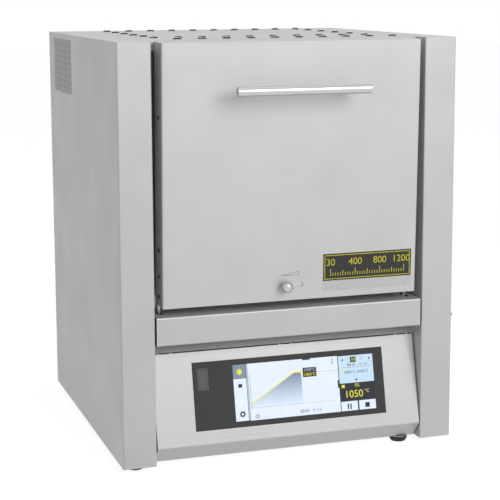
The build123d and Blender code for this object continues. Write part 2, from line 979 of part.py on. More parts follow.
def casing_rails():
    """Two channels that stand the inner casing off the deck"""
    y = (behind(frame_setback + rail_width), behind(lining_back - rail_width))
    through = (y[0] - 1, y[1] + 1)
    right = lining_half - rail_inset + rail_width / 2
    x = (right - rail_width, right)
    rail = block(x, y, (deck_top, casing_bottom))
    inside = (x[0] + sheet, x[1] - sheet)
    return both_sides(rail - block(inside, through, (deck_top, casing_bottom - sheet)))


def support_deck():
    """Sheet between the side panels that carries the inner casing"""
    half = case_width / 2 - sheet
    y = (behind(slot_back + side_clearance), shell_back - flange - side_clearance)
    deck = block((-half, half), y, (deck_top - deck_drop, deck_top))
    hollow = (-half + sheet, half - sheet)
    return deck - block(hollow, (front_y, rear_y), (0, deck_top - sheet))


# Exhaust and probe


def exhaust_outlet():
    """Steel pipe from the inner casing out through the rear panel, thinner outside"""
    y = (behind(lining_back) + sheet, rear_y + outlet_reach)
    pipe = rod_y(spigot_radius, 0, y, exhaust_height)
    pipe += rod_y(pipe_radius, 0, (y[0], rear_y + 2 * sheet), exhaust_height)
    return pipe - rod_y(exhaust_bore, 0, (y[0] - 1, y[1] + 1), exhaust_height)


def exhaust_flange():
    """Square plate that closes the rear panel round the pipe"""
    half = outlet_plate / 2
    y = (rear_y, rear_y + 2 * sheet)
    cover = block((-half, half), y, (exhaust_height - half, exhaust_height + half))
    hole = pipe_radius + fixing_clearance
    return cover - rod_y(hole, 0, (y[0] - 1, y[1] + 1), exhaust_height)


def probe_sheath():
    y = (behind(chamber_back) - probe_reach, behind(lining_back) + sheet)
    return rod_y(probe_radius, probe_offset, y, probe_height())


def probe_head():
    start = behind(lining_back) + sheet
    return rod_y(probe_head_radius, probe_offset, (start, start + probe_head_depth), probe_height())


def heater_terminals():
    """Ceramic blocks on the casing that hold the ends of the strips"""
    y = (behind(lining_back) + sheet, behind(lining_back) + lead_length)
    half = terminal_block_width / 2
    x = sum(strip_x(0)) / 2
    blocks = []
    for z in lead_heights():
        holder = block((x - half, x + half), y, (z - half, z + half))
        wide = strip_width / 2 + fixing_clearance
        hole_x = (strip_x(fixing_clearance)[0], strip_x(0)[1] + fixing_clearance)
        holder -= block(hole_x, (y[0] - 1, y[1] + 1), (z - wide, z + wide))
        blocks += [holder, other_side(holder)]
    return group(blocks)


# Lower compartment


def sink_middle():
    return (-opening + sink_width, behind(case_depth / 2))


def heat_sink():
    """Finned block that cools the relay"""
    x, y = sink_middle()
    half = (sink_width / 2, sink_depth / 2)
    z = (base_top, base_top + sink_height)
    top = (z[1] - sink_base, z[1])
    span_y = (y - half[1], y + half[1])
    sink = block((x - half[0], x + half[0]), span_y, top)
    step = (sink_width - fin_thickness) / (sink_fins - 1)
    for i in range(sink_fins):
        left = x - half[0] + i * step
        sink += block((left, left + fin_thickness), span_y, z)
    return sink


def solid_state_relay():
    x, y = sink_middle()
    z = base_top + sink_height
    half = (relay_width / 2, relay_depth / 2)
    span_x = (x - half[0], x + half[0])
    relay = block(span_x, (y - half[1], y + half[1]), (z, z + relay_height))
    for way in (-1, 1):
        cut_y = sorted((y + way * relay_depth / 2, y + way * relay_depth / 3))
        relay -= block(span_x, cut_y, (z + relay_height / 2, z + 2 * relay_height))
    return relay


def contactor():
    """Safety contactor that cuts the heating when the door opens"""
    x = case_width / 8
    y = behind(case_depth / 2)
    half = (contactor_width / 2, contactor_depth / 2)
    z = (base_top, base_top + contactor_height)
    span_x = (x - half[0], x + half[0])
    body = block(span_x, (y - half[1], y + half[1]), z)
    for way in (-1, 1):
        cut_y = sorted((y + way * contactor_depth / 2, y + way * contactor_depth / 4))
        body -= block(span_x, cut_y, (z[0] + contactor_height * 2 / 3, z[1] + 1))
    return body


def terminal_block():
    """Row of terminals, each with two square wells for its screws"""
    x = opening - 4 * terminal_pitch
    y = behind(case_depth * 3 / 4)
    half = terminal_poles * terminal_pitch / 2
    z = (base_top, base_top + terminal_height)
    body = block((x - half, x + half), (y - terminal_depth / 2, y + terminal_depth / 2), z)
    for i in range(terminal_poles):
        pole = x - half + (i + 0.5) * terminal_pitch
        for way in (-1, 1):
            row = y + way * terminal_depth / 3
            body -= Pos(pole, row, z[1]) * Box(terminal_well, terminal_well, 2 * terminal_well)
    return body


def inlet_cut(y):
    x = inlet_offset
    z = inlet_rise
    half = (inlet_width / 2 + fixing_clearance, inlet_height / 2 + fixing_clearance)
    return block((x - half[0], x + half[0]), y, (z - half[1], z + half[1]))


def power_inlet():
    """Recessed mains inlet; its plug and cord aren't part of the furnace"""
    x = inlet_offset
    z = inlet_rise
    half = (inlet_width / 2, inlet_height / 2)
    y = (rear_y - inlet_depth, rear_y + 2 * sheet)
    body = block((x - half[0], x + half[0]), y, (z - half[1], z + half[1]))
    rim = (half[0] + inlet_flange, half[1] + inlet_flange)
    body += block((x - rim[0], x + rim[0]), (rear_y, rear_y + 2 * sheet), (z - rim[1], z + rim[1]))
    well = (half[0] - inlet_wall, half[1] - inlet_wall)
    well_y = (y[0] + inlet_wall, y[1] + 1)
    return body - block((x - well[0], x + well[0]), well_y, (z - well[1], z + well[1]))


def inlet_blades():
    blades = []
    floor = rear_y - inlet_depth + inlet_wall
    for shift in (-1, 0, 1):
        x = inlet_offset + shift * inlet_width / 4
        z = inlet_rise + (0 if shift else inlet_height / 8)
        half = (blade_width / 2, blade_height / 2)
        y = (floor, floor + blade_length)
        blades.append(block((x - half[0], x + half[0]), y, (z - half[1], z + half[1])))
    return group(blades)


# Mains switch


def switch_place():
    return Pos(case_width / 2 - rocker_pivot_depth, behind(switch_setback), switch_height)


def switch_frame():
    """Frame of the mains switch: a bezel outside the panel and a body inside it"""
    face = rocker_pivot_depth
    half = (switch_width / 2, switch_length / 2)
    frame = block((face, face + switch_bezel), (-half[0], half[0]), (-half[1], half[1]))
    inner = (half[0] - switch_bezel, half[1] - switch_bezel)
    body = (face - switch_body_depth, face)
    frame += block(body, (-inner[0], inner[0]), (-inner[1], inner[1]))
    well = rocker_width / 2 + side_clearance
    tall = rocker_half_length + 3 * side_clearance
    low = -rocker_back * 2
    frame -= block((low, face + 2 * switch_bezel), (-well, well), (-tall, tall))
    hole = trunnion_radius + running_clearance
    reach = rocker_width / 2 + trunnion_length + side_clearance
    return switch_place() * (frame - rod_y(hole, 0, (-reach, reach), 0))


def switch_rocker():
    """Rocker with a dished face, tipped to one of its two rests"""
    outline = [
        (rocker_edge, rocker_half_length),
        (rocker_waist, 0),
        (rocker_edge, -rocker_half_length),
        (-rocker_back / 2, -rocker_half_length * 3 / 4),
        (-rocker_back, 0),
        (-rocker_back / 2, rocker_half_length * 3 / 4),
    ]
    face = Plane.XZ * make_face(Polyline(*outline, close=True))
    rocker = extrude(face, rocker_width / 2, both=True)
    reach = rocker_width / 2 + trunnion_length
    rocker += rod_y(trunnion_radius, 0, (-reach, reach), 0)
    return switch_place() * Rot(0, rocker_tilt, 0) * rocker


parts = {
    "side_panel_left": side_shell,
    "side_panel_right": side_panel_right,
    "top_cover": top_cover,
    "rear_panel": rear_panel,
    "base_plate": base_plate,
    "rubber_feet": rubber_feet,
    "sill_bar": sill_bar,
    "sill_gussets": sill_gussets,
    "control_fascia": control_fascia,
    "display_glass": display_glass,
    "display_module": display_module,
    "controller_board": controller_board,
    "port_frame": port_frame,
    "port_flap": port_flap,
    "port_socket": port_socket,
    "hinge_brackets": hinge_brackets,
    "hinge_arms": hinge_arms,
    "hinge_pins": hinge_pins,
    "door_skin": door_skin,
    "door_pan": door_pan,
    "door_insulation": door_insulation,
    "door_plug": door_plug,
    "handle_bar": handle_bar,
    "handle_posts": handle_posts,
    "air_slider": air_slider,
    "slider_knob": slider_knob,
    "slider_guides": slider_guides,
    "mouth_collar": mouth_collar,
    "side_linings": side_linings,
    "top_lining": top_lining_board,
    "floor_lining": floor_lining_board,
    "rear_lining": rear_lining_board,
    "hearth_plate": hearth_plate,
    "heating_plate_right": heating_plate_right,
    "heating_plate_left": heating_plate_left,
    "heating_strips": heating_strips,
    "heater_terminals": heater_terminals,
    "front_frame": front_frame,
    "casing_wrap": casing_wrap,
    "casing_floor": casing_floor,
    "casing_back": casing_back,
    "casing_rails": casing_rails,
    "support_deck": support_deck,
    "exhaust_outlet": exhaust_outlet,
    "exhaust_flange": exhaust_flange,
    "probe_sheath": probe_sheath,
    "probe_head": probe_head,
    "heat_sink": heat_sink,
    "solid_state_relay": solid_state_relay,
    "contactor": contactor,
    "terminal_block": terminal_block,
    "power_inlet": power_inlet,
    "inlet_blades": inlet_blades,
    "switch_frame": switch_frame,
    "switch_rocker": switch_rocker,
}

os.makedirs("parts", exist_ok=True)
for name, make in parts.items():
    export_step(make(), f"parts/{name}.step")
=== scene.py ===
import json
from collections import namedtuple
from math import asin, cos, pi, radians, sin, tan

import bmesh
import bpy
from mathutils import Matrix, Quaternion, Vector


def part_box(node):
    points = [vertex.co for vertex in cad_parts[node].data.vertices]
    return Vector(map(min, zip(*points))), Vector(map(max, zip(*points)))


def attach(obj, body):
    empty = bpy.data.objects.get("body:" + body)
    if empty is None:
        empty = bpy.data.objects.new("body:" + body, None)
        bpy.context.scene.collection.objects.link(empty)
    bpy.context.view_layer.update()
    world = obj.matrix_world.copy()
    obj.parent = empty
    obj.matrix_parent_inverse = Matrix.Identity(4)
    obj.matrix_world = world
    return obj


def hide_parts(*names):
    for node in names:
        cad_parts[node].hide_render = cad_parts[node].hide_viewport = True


MM = 0.001
door_lean = radians(1.8)

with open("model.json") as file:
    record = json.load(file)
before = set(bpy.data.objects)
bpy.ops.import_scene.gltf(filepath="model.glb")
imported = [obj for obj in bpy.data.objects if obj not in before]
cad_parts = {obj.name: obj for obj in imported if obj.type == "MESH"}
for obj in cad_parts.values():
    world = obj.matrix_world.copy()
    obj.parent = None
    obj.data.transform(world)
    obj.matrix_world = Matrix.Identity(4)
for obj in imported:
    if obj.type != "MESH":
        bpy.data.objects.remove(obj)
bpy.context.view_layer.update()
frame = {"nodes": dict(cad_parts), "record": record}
nodes = frame["nodes"]
record = frame["record"]


# Materials: colour, roughness and bump all vary by position on the object


def add_node(tree, kind, **settings):
    """Shader node with these settings"""
    node = tree.nodes.new(kind)
    for name, value in settings.items():
        setattr(node, name, value)
    return node


def noise(tree, pitch, finer=(1, 1, 1)):
    """Noise whose spots are about this many millimetres apart, and so many times finer along each axis"""
    coords = add_node(tree, "ShaderNodeTexCoord")
    mapping = add_node(tree, "ShaderNodeMapping")
    mapping.inputs["Scale"].default_value = finer
    texture = add_node(tree, "ShaderNodeTexNoise")
    texture.inputs["Scale"].default_value = 1 / (pitch * MM)
    texture.inputs["Detail"].default_value = 3
    tree.links.new(coords.outputs["Object"], mapping.inputs["Vector"])
    tree.links.new(mapping.outputs["Vector"], texture.inputs["Vector"])
    return texture.outputs["Fac"]


def map_range(tree, value, low, high):
    """Stretch the middle values of noise over the range from low to high"""
    least, most = 0.3, 0.7
    node = add_node(tree, "ShaderNodeMapRange")
    node.inputs["From Min"].default_value = least
    node.inputs["From Max"].default_value = most
    node.inputs["To Min"].default_value = low
    node.inputs["To Max"].default_value = high
    tree.links.new(value, node.inputs["Value"])
    return node.outputs["Result"]


def mix_colors(tree, factor, dark, light):
    """Colour between dark and light by a factor that varies over the piece"""
    node = add_node(tree, "ShaderNodeMix", data_type="RGBA")
    node.inputs["A"].default_value = (*dark, 1)
    node.inputs["B"].default_value = (*light, 1)
    tree.links.new(factor, node.inputs["Factor"])
    return node.outputs["Result"]


def emboss(tree, pitch):
    """Height of a fine square weave pressed into sheet, from crossed waves"""
    radians_per_metre = 20
    coords = add_node(tree, "ShaderNodeTexCoord")
    heights = []
    for direction in ("X", "Y", "Z"):
        wave = add_node(tree, "ShaderNodeTexWave", bands_direction=direction)
        wave.inputs["Scale"].default_value = 2 * pi / (radians_per_metre * pitch * MM)
        wave.inputs["Distortion"].default_value = 1.5
        tree.links.new(coords.outputs["Object"], wave.inputs["Vector"])
        heights.append(wave.outputs["Fac"])
    total = heights[0]
    for height in heights[1:]:
        add = add_node(tree, "ShaderNodeMath", operation="ADD")
        tree.links.new(total, add.inputs[0])
        tree.links.new(height, add.inputs[1])
        total = add.outputs["Value"]
    return total


def bump(tree, shader, height, distance, strength):
    """Relief of this depth in millimetres, without moving the surface"""
    node = add_node(tree, "ShaderNodeBump")
    node.inputs["Strength"].default_value = strength
    node.inputs["Distance"].default_value = distance * MM
    tree.links.new(height, node.inputs["Height"])
    tree.links.new(node.outputs["Normal"], shader.inputs["Normal"])


def new_material(name, color, roughness, pitch, spread=0.06, metallic=0.0, finer=(1, 1, 1)):
    """Material whose colour and roughness vary a little from spot to spot"""
    material = bpy.data.materials.new(name)
    material.use_nodes = True
    tree = material.node_tree
    shader = tree.nodes["Principled BSDF"]
    shader.inputs["Metallic"].default_value = metallic
    spots = noise(tree, pitch, finer)
    dark = tuple(c * (1 - spread) for c in color)
    light = tuple(min(1, c * (1 + spread)) for c in color)
    mixed = mix_colors(tree, map_range(tree, spots, 0, 1), dark, light)
    tree.links.new(mixed, shader.inputs["Base Color"])
    swing = 0.15
    rough = map_range(tree, spots, roughness * (1 - swing), roughness * (1 + swing))
    tree.links.new(rough, shader.inputs["Roughness"])
    return material, tree, shader


def sheet_steel(name, shade):
    """Pale steel sheet with a fine pressed weave"""
    color = (shade, shade, shade * 0.985)
    material, tree, shader = new_material(name, color, roughness=0.42, pitch=60, spread=0.03, metallic=0.3)
    bump(tree, shader, emboss(tree, pitch=1.3), distance=0.05, strength=0.5)
    return material


def plain_steel(name, shade, roughness, metallic=1.0):
    """Bright rolled steel with fine lines from side to side"""
    color = (shade, shade, shade * 0.99)
    material, tree, shader = new_material(
        name, color, roughness, pitch=3, spread=0.05, metallic=metallic, finer=(1, 1, 8)
    )
    lines = noise(tree, pitch=0.6, finer=(0.1, 1, 1))
    bump(tree, shader, lines, distance=0.01, strength=0.3)
    return material


def grainy(name, color, roughness, pitch, depth, spread=0.08, metallic=0.0):
    """Material with grains of one size; its colour varies over several grains"""
    spot_pitch = 6 * pitch
    material, tree, shader = new_material(name, color, roughness, spot_pitch, spread, metallic)
    bump(tree, shader, noise(tree, pitch), depth, strength=0.6)
    return material


def glass_material():
    """Black printed glass, seen from its front only"""
    color = (0.012, 0.013, 0.016)
    material, tree, shader = new_material("display_glass", color, roughness=0.07, pitch=40, spread=0.2)
    bump(tree, shader, noise(tree, pitch=25), distance=0.02, strength=0.1)
    shader.inputs["Coat Weight"].default_value = 0.4
    return material


def lit_material(name, color, strength=0.8):
    """Part of the lit screen: a slightly uneven glow under a smooth cover"""
    unlit_share, faint_share = 0.3, 0.97
    unlit = tuple(c * unlit_share for c in color)
    material, tree, shader = new_material(name, unlit, roughness=0.2, pitch=9, spread=0.1)
    faint = tuple(c * faint_share for c in color)
    glow = mix_colors(tree, noise(tree, pitch=4), faint, color)
    tree.links.new(glow, shader.inputs["Emission Color"])
    shader.inputs["Emission Strength"].default_value = strength
    return material


materials = {
    "textured_steel": sheet_steel("textured_steel", shade=0.62),
    "door_steel": sheet_steel("door_steel", shade=0.66),
    "inner_steel": plain_steel("inner_steel", shade=0.5, roughness=0.35, metallic=0.9),
    "bright_steel": plain_steel("bright_steel", shade=0.5, roughness=0.2),
    "fastener_steel": plain_steel("fastener_steel", shade=0.6, roughness=0.3),
    "contact_brass": plain_steel("contact_brass", shade=0.6, roughness=0.25),
    "foot_rubber": grainy("foot_rubber", (0.02, 0.02, 0.02), roughness=0.7, pitch=0.5, depth=0.05),
    "fibre_lining": grainy("fibre_lining", (0.8, 0.78, 0.72), roughness=0.95, pitch=1.2, depth=0.4),
    "white_ceramic": grainy("white_ceramic", (0.78, 0.72, 0.62), roughness=0.8, pitch=0.8, depth=0.15),
    "heating_strip": grainy(
        "heating_strip", (0.2, 0.17, 0.16), roughness=0.5, pitch=0.4, depth=0.05, spread=0.2, metallic=0.8
    ),
    "display_glass": glass_material(),
    "grey_plastic": grainy("grey_plastic", (0.1, 0.1, 0.11), roughness=0.5, pitch=0.4, depth=0.03),
    "black_plastic": grainy("black_plastic", (0.02, 0.02, 0.022), roughness=0.45, pitch=0.4, depth=0.03),
    "circuit_board": grainy("circuit_board", (0.02, 0.12, 0.05), roughness=0.4, pitch=1, depth=0.02),
    "cast_aluminium": grainy(
        "cast_aluminium", (0.6, 0.6, 0.62), roughness=0.4, pitch=0.8, depth=0.05, spread=0.05, metallic=0.9
    ),
}
dark_screw = grainy("dark_screw", (0.03, 0.03, 0.03), roughness=0.4, pitch=0.4, depth=0.02)
engraved = grainy("engraved", (0.25, 0.25, 0.25), roughness=0.6, pitch=0.3, depth=0.02)
label_film = grainy("label_film", (0.62, 0.62, 0.6), roughness=0.5, pitch=0.6, depth=0.02)
label_ink = grainy("label_ink", (0.3, 0.3, 0.3), roughness=0.6, pitch=0.6, depth=0.02)
plate_black = grainy("plate_black", (0.012, 0.012, 0.012), roughness=0.3, pitch=0.6, depth=0.01)
plate_pale = grainy("plate_pale", (0.74, 0.74, 0.73), roughness=0.45, pitch=0.6, depth=0.01)
plate_yellow = grainy("plate_yellow", (0.8, 0.72, 0.02), roughness=0.4, pitch=0.6, depth=0.01)
screen_white = lit_material("screen_white", (0.8, 0.88, 1.0))
screen_blue = lit_material("screen_blue", (0.58, 0.76, 0.92))
screen_navy = lit_material("screen_navy", (0.01, 0.012, 0.03), strength=0.5)
screen_slate = lit_material("screen_slate", (0.2, 0.26, 0.36))
screen_mist = lit_material("screen_mist", (0.5, 0.62, 0.78))
screen_ink = lit_material("screen_ink", (0.02, 0.02, 0.03), strength=0.3)
screen_grey = lit_material("screen_grey", (0.3, 0.32, 0.36))
screen_yellow = lit_material("screen_yellow", (0.85, 0.8, 0.02))


# Mesh helpers


def link_new(name, data):
    """New object in the scene, with this mesh, text, lamp or camera"""
    obj = bpy.data.objects.new(name, data)
    bpy.context.collection.objects.link(obj)
    return obj


def add_piece(name, mesh, material, body):
    """Object that rides on a body, with this material"""
    mesh.materials.append(material)
    obj = link_new(name, mesh)
    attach(obj, body)
    return obj


def front_face(node):
    """Middle, sideways, upward and outward directions of a node's foremost flat face"""
    facing_front, flat = -0.9, 0.1 * MM
    mesh = nodes[node].data
    faces = [face for face in mesh.polygons if face.normal.y < facing_front]
    outward = max(faces, key=lambda face: face.area).normal.copy()
    across = Vector((1, 0, 0))
    upward = outward.cross(across)
    points = [mesh.vertices[i].co for face in faces for i in face.vertices]
    height = max(point.dot(outward) for point in points)
    points = [point for point in points if point.dot(outward) > height - flat]
    xs = [point.x for point in points]
    ups = [point.dot(upward) for point in points]
    middle = outward * height + upward * (min(ups) + max(ups)) / 2
    middle.x = (min(xs) + max(xs)) / 2
    return middle, across, upward, outward


Row = namedtuple("Row", "text x up tall")


class Sheet:
    """A flat face with its own two directions, in millimetres from a marked point"""

    def __init__(self, origin, across, upward, outward):
        self.origin, self.across, self.upward, self.outward = origin, across, upward, outward

    def at(self, x, up, lift):
        """Place on the object of a point on the face, lifted off it"""
        return self.origin + (self.across * x + self.upward * up + self.outward * lift) * MM

    def art(self, name, shapes, lift, material, body, slot):
        """Thin pieces of print, each an outline of points, at one height above the face"""
        mesh = bpy.data.meshes.new(name)
        points, faces = [], []
        for shape in shapes:
            start = len(points)
            points += [self.at(x, up, lift) for x, up in shape]
            faces.append(tuple(range(start, len(points))))
        mesh.from_pydata(points, [], faces)
        return add_piece(name, mesh, material, body)

    def words(self, name, rows, lift, material, body, slot):
        """Figures, as one piece: text, middle and height of each row"""
        font_per_height = 1.38
        mesh = bpy.data.meshes.new(name)
        joined = bmesh.new()
        for row in rows:
            curve = bpy.data.curves.new(name, "FONT")
            curve.body = row.text
            curve.align_x = "CENTER"
            curve.align_y = "CENTER"
            curve.size = row.tall * font_per_height
            holder = link_new(name + "_text", curve)
            flat = bpy.data.meshes.new_from_object(holder)
            bpy.data.objects.remove(holder)
            for vertex in flat.vertices:
                vertex.co = self.at(row.x + vertex.co.x, row.up + vertex.co.y, lift)
            joined.from_mesh(flat)
        joined.to_mesh(mesh)
        joined.free()
        return add_piece(name, mesh, material, body)


def box_shape(left, low, right, high):
    """Corners of a box, around it from its low left one"""
    return [(left, low), (right, low), (right, high), (left, high)]


def round_shape(x, up, radius, sides=20, inner=None):
    """Circle, or a star whose notches reach in to the inner radius"""
    shape = []
    for i in range(sides):
        reach = radius if inner is None or i % 2 == 0 else inner
        angle = 2 * pi * i / sides
        shape.append((x + reach * cos(angle), up + reach * sin(angle)))
    return shape


def stroke(points, width):
    """Outlines of the straight pieces of a line of this width"""
    shapes = []
    for start, end in zip(points, points[1:]):
        start, end = Vector(start), Vector(end)
        along = (end - start).normalized() * width / 2
        side = Vector((-along.y, along.x))
        corners = (start - along - side, end + along - side, end + along + side, start - along + side)
        shapes.append([tuple(corner) for corner in corners])
    return shapes


def lathe(name, profile, place, direction, material, body, sides=32):
    """Turned piece: its profile is radius and height in millimetres along the direction"""
    sharp_edge = radians(35)
    turn = Vector(direction).to_track_quat("Z", "Y")
    work = bmesh.new()
    rings = []
    for radius, height in profile:
        ring = []
        for i in range(sides):
            angle = 2 * pi * i / sides
            local = Vector((radius * cos(angle), radius * sin(angle), height)) * MM
            ring.append(work.verts.new(Vector(place) + turn @ local))
        rings.append(ring)
    for low, high in zip(rings, rings[1:]):
        for i in range(sides):
            after = (i + 1) % sides
            work.faces.new((low[i], low[after], high[after], high[i]))
    work.faces.new(list(reversed(rings[0])))
    work.faces.new(rings[-1])
    mesh = bpy.data.meshes.new(name)
    work.to_mesh(mesh)
    work.free()
    mesh.polygons.foreach_set("use_smooth", [True] * len(mesh.polygons))
    mesh.set_sharp_from_angle(angle=sharp_edge)
    return add_piece(name, mesh, material, body)


# Finish of the CAD nodes, and turned metal pieces


def dress_nodes():
    """Each CAD node takes the material of its slot in the record"""
    for row in record["subparts"]:
        obj = nodes[row["node"]]
        material = materials[row["material_slot"]]
        if not obj.material_slots:
            obj.data.materials.append(material)
        for slot in obj.material_slots:
            slot.material = material


def screw(name, place, direction, radius, material, body):
    """Pan head with a round edge and a socket, from shares of its radius and height"""
    head_share = 0.55
    tall = radius * head_share
    rim = [(1, 0), (1, 0.35), (0.92, 0.7), (0.72, 1)]
    socket = [(0.42, 1), (0.38, 0.35), (0.05, 0.25)]
    profile = [(radius * out, tall * up) for out, up in rim + socket]
    lathe(name, profile, place, direction, material, body, sides=20)


def side_name(way):
    """Word for a side of the object, by the sign of its x"""
    return "left" if way < 0 else "right"


def door_side_screws():
    """Dark screws down both sides of the door, in a row that leans with it"""
    heights = (218.6, 243.9, 276.6, 439)
    radius, from_front = 2.6, 8
    side_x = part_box("door_skin")[1].x
    front_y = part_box("hinge_arms")[0].y
    for number, height in enumerate(heights):
        y = front_y + (from_front - (height - heights[0]) * sin(door_lean)) * MM
        for way in (-1, 1):
            name = f"door_screw_{number}_{side_name(way)}"
            screw(name, (way * side_x, y, height * MM), (way, 0, 0), radius, dark_screw, "door")


def rear_screws():
    """Columns of screws at both edges of the rear panel"""
    rows, radius = 5, 3.2
    from_side, from_end = 11 * MM, 14 * MM
    low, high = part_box("rear_panel")
    pitch = (high.z - low.z - 2 * from_end) / (rows - 1)
    for row in range(rows):
        for way in (-1, 1):
            place = (way * (high.x - from_side), high.y, low.z + from_end + row * pitch)
            name = f"rear_screw_{row}_{side_name(way)}"
            screw(name, place, (0, 1, 0), radius, materials["fastener_steel"], "housing")


def flange_screws():
    """Screws at the four corners of the exhaust flange"""
    radius, from_side, from_middle = 2.6, 5 * MM, 21 * MM
    low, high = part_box("exhaust_flange")
    middle = (low.z + high.z) / 2
    for across in (-1, 1):
        for up in (-1, 1):
            place = (across * (high.x - from_side), high.y, middle + up * from_middle)
            name = f"flange_screw_{across + 1}_{up + 1}"
            screw(name, place, (0, 1, 0), radius, materials["fastener_steel"], "housing")


def foot_washers():
    """Thin washer where each rubber foot meets the base plate"""
    from_side, sunk = 12 * MM, 0.6 * MM
    profile = [(12.4, 0), (12.6, 0.3), (12.4, 0.55)]
    steel = materials["fastener_steel"]
    low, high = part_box("rubber_feet")
    for x in (low.x + from_side, high.x - from_side):
        for y in (low.y + from_side, high.y - from_side):
            name = f"foot_washer_{side_name(x)}_{'front' if y < 0 else 'rear'}"
            lathe(name, profile, (x, y, high.z - sunk), (0, 0, 1), steel, "housing")


def smooth_knob():
    """Ball knob with a short collar, in place of the faceted solid"""
    radius, neck, steps = 7.5, 2.8, 22
    least_radius = 0.02
    low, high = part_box("slider_knob")
    middle = (low + high) / 2
    outward = (0, -1, -tan(door_lean))
    collar = [(3.2, -9.3), (3.2, -8.6), (2.6, -8.2)]
    start = asin(neck / radius)
    ball = []
    for i in range(steps + 1):
        turn = start + (pi - start) * i / steps
        ball.append((max(radius * sin(turn), least_radius), -radius * cos(turn)))
    steel = materials["bright_steel"]
    knob = lathe("knob_ball", collar + ball, middle, outward, steel, "air_shutter", sides=48)
    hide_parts("slider_knob")


# Printed pieces


def door_sheet():
    """Front of the door, measured from the middle of the object and the floor"""
    middle, across, upward, outward = front_face("door_skin")
    foot = middle - upward * middle.z / upward.z
    foot.x = 0
    return Sheet(foot, across, upward, outward)


def door_badge():
    """Temperature plate: a black field with a scale above a bare pale strip"""
    face = door_sheet()
    slot = "display_glass"
    left, right, low, split, high = 40.8, 161, 214, 227, 261.5
    on_door, on_field = 0.08, 0.14
    face.art("badge_field", [box_shape(left, split, right, high)], on_door, plate_black, "door", slot)
    face.art("badge_strip", [box_shape(left, low, right, split)], on_door, plate_pale, "door", "door_steel")

    edge, border = 2.2, 0.9
    inner = box_shape(left + edge, split + edge, right - edge, high - edge)
    shapes = stroke(inner + inner[:1], border)
    start, pitch, ticks = left + 10, 3.34, 31
    half_tick, tick_foot = 0.45, split + 6
    long_tick, middle_tick, short_tick = 9, 6.5, 4
    for i in range(ticks):
        tall = long_tick if i % 10 == 0 else middle_tick if i % 5 == 0 else short_tick
        x = start + i * pitch
        shapes.append(box_shape(x - half_tick, tick_foot, x + half_tick, tick_foot + tall))
    face.art("badge_scale", shapes, on_field, plate_yellow, "door", slot)

    figures_up, figures_tall, last_back = split + 23, 9, 4
    rows = []
    for i, text in enumerate(("30", "400", "800", "1200")):
        rows.append(Row(text, start + i * 10 * pitch, figures_up, figures_tall))
    rows[-1] = rows[-1]._replace(x=rows[-1].x - last_back)
    face.words("badge_numbers", rows, on_field, plate_yellow, "door", slot)


def slot_mark():
    """Engraved wedge above the air slot: it shows which way opens it"""
    tip, heel, top = (-15, 237.5), (8, 237.5), (8, 242)
    lift, base_line, slope_line = 0.05, 0.6, 0.5
    shapes = stroke([tip, heel, top], base_line) + stroke([top, tip], slope_line)
    door_sheet().art("slot_mark", shapes, lift, engraved, "door", "door_steel")


def side_label():
    """Bare type plate with ruled fields on the left side"""
    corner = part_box("side_panel_left")[0]
    from_front, width = 274, 122
    low, high = 448.5, 522.7
    on_panel, on_plate = 0.05, 0.1
    right = -corner.y / MM - from_front
    left = right - width
    face = Sheet(Vector((corner.x, 0, 0)), Vector((0, -1, 0)), Vector((0, 0, 1)), Vector((-1, 0, 0)))
    plate = box_shape(left, low, right, high)
    face.art("type_plate", [plate], on_panel, label_film, "housing", "textured_steel")

    rules, pitch, line = 8, 8.2, 0.45
    from_side, from_end = 5, 8
    columns = (0.35, 0.62)
    shapes = []
    for i in range(rules):
        up = high - from_end - i * pitch
        shapes += stroke([(left + from_side, up), (right - from_side, up)], line)
    for share in columns:
        at = left + width * share
        shapes += stroke([(at, low + from_end), (at, high - from_end)], line)
    face.art("type_plate_lines", shapes, on_plate, label_ink, "housing", "textured_steel")


# Lit screen, in millimetres from a point low on the glass, with its layers from low to high

PANEL, LINE, SIGN, FIGURE = 1, 2, 3, 4


class Screen(Sheet):
    """The glass of the display, printed in thin layers"""

    slot = "display_glass"
    layer_lift = 0.06

    def draw(self, name, shapes, layer, material):
        """Shapes in one layer"""
        self.art(name, shapes, self.layer_lift * layer, material, "housing", self.slot)

    def write(self, name, rows, layer, material):
        """Rows of figures in one layer"""
        self.words(name, rows, self.layer_lift * layer, material, "housing", self.slot)


def screen_panels(screen):
    """Lit fields: a bar of signs, the main page and a column at the right"""
    low, high = 25, 95.8
    bar_left, bar_right, bar_split = -73, -56, 78
    screen.draw("screen_bar", [box_shape(bar_left, low, bar_right, bar_split)], PANEL, screen_white)
    screen.draw("screen_bar_top", [box_shape(bar_left, bar_split, bar_right, high)], PANEL, screen_slate)
    screen.draw("screen_main", [box_shape(-53.6, 24.5, 68.4, 96)], PANEL, screen_white)
    screen.draw("screen_seam", [box_shape(-55.4, low, -54, high)], PANEL, screen_mist)
    left, right = 69.4, 117.2
    screen.draw("screen_info", [box_shape(left, 60, right, 95.2)], PANEL, screen_blue)
    screen.draw("screen_reading", [box_shape(left, 37.4, right, 59.6)], PANEL, screen_navy)
    button_low, button_high = 24.6, 36.6
    pause = box_shape(left, button_low, 92.2, button_high)
    stop = box_shape(94.2, button_low, right, button_high)
    screen.draw("screen_buttons", [pause, stop], PANEL, screen_white)


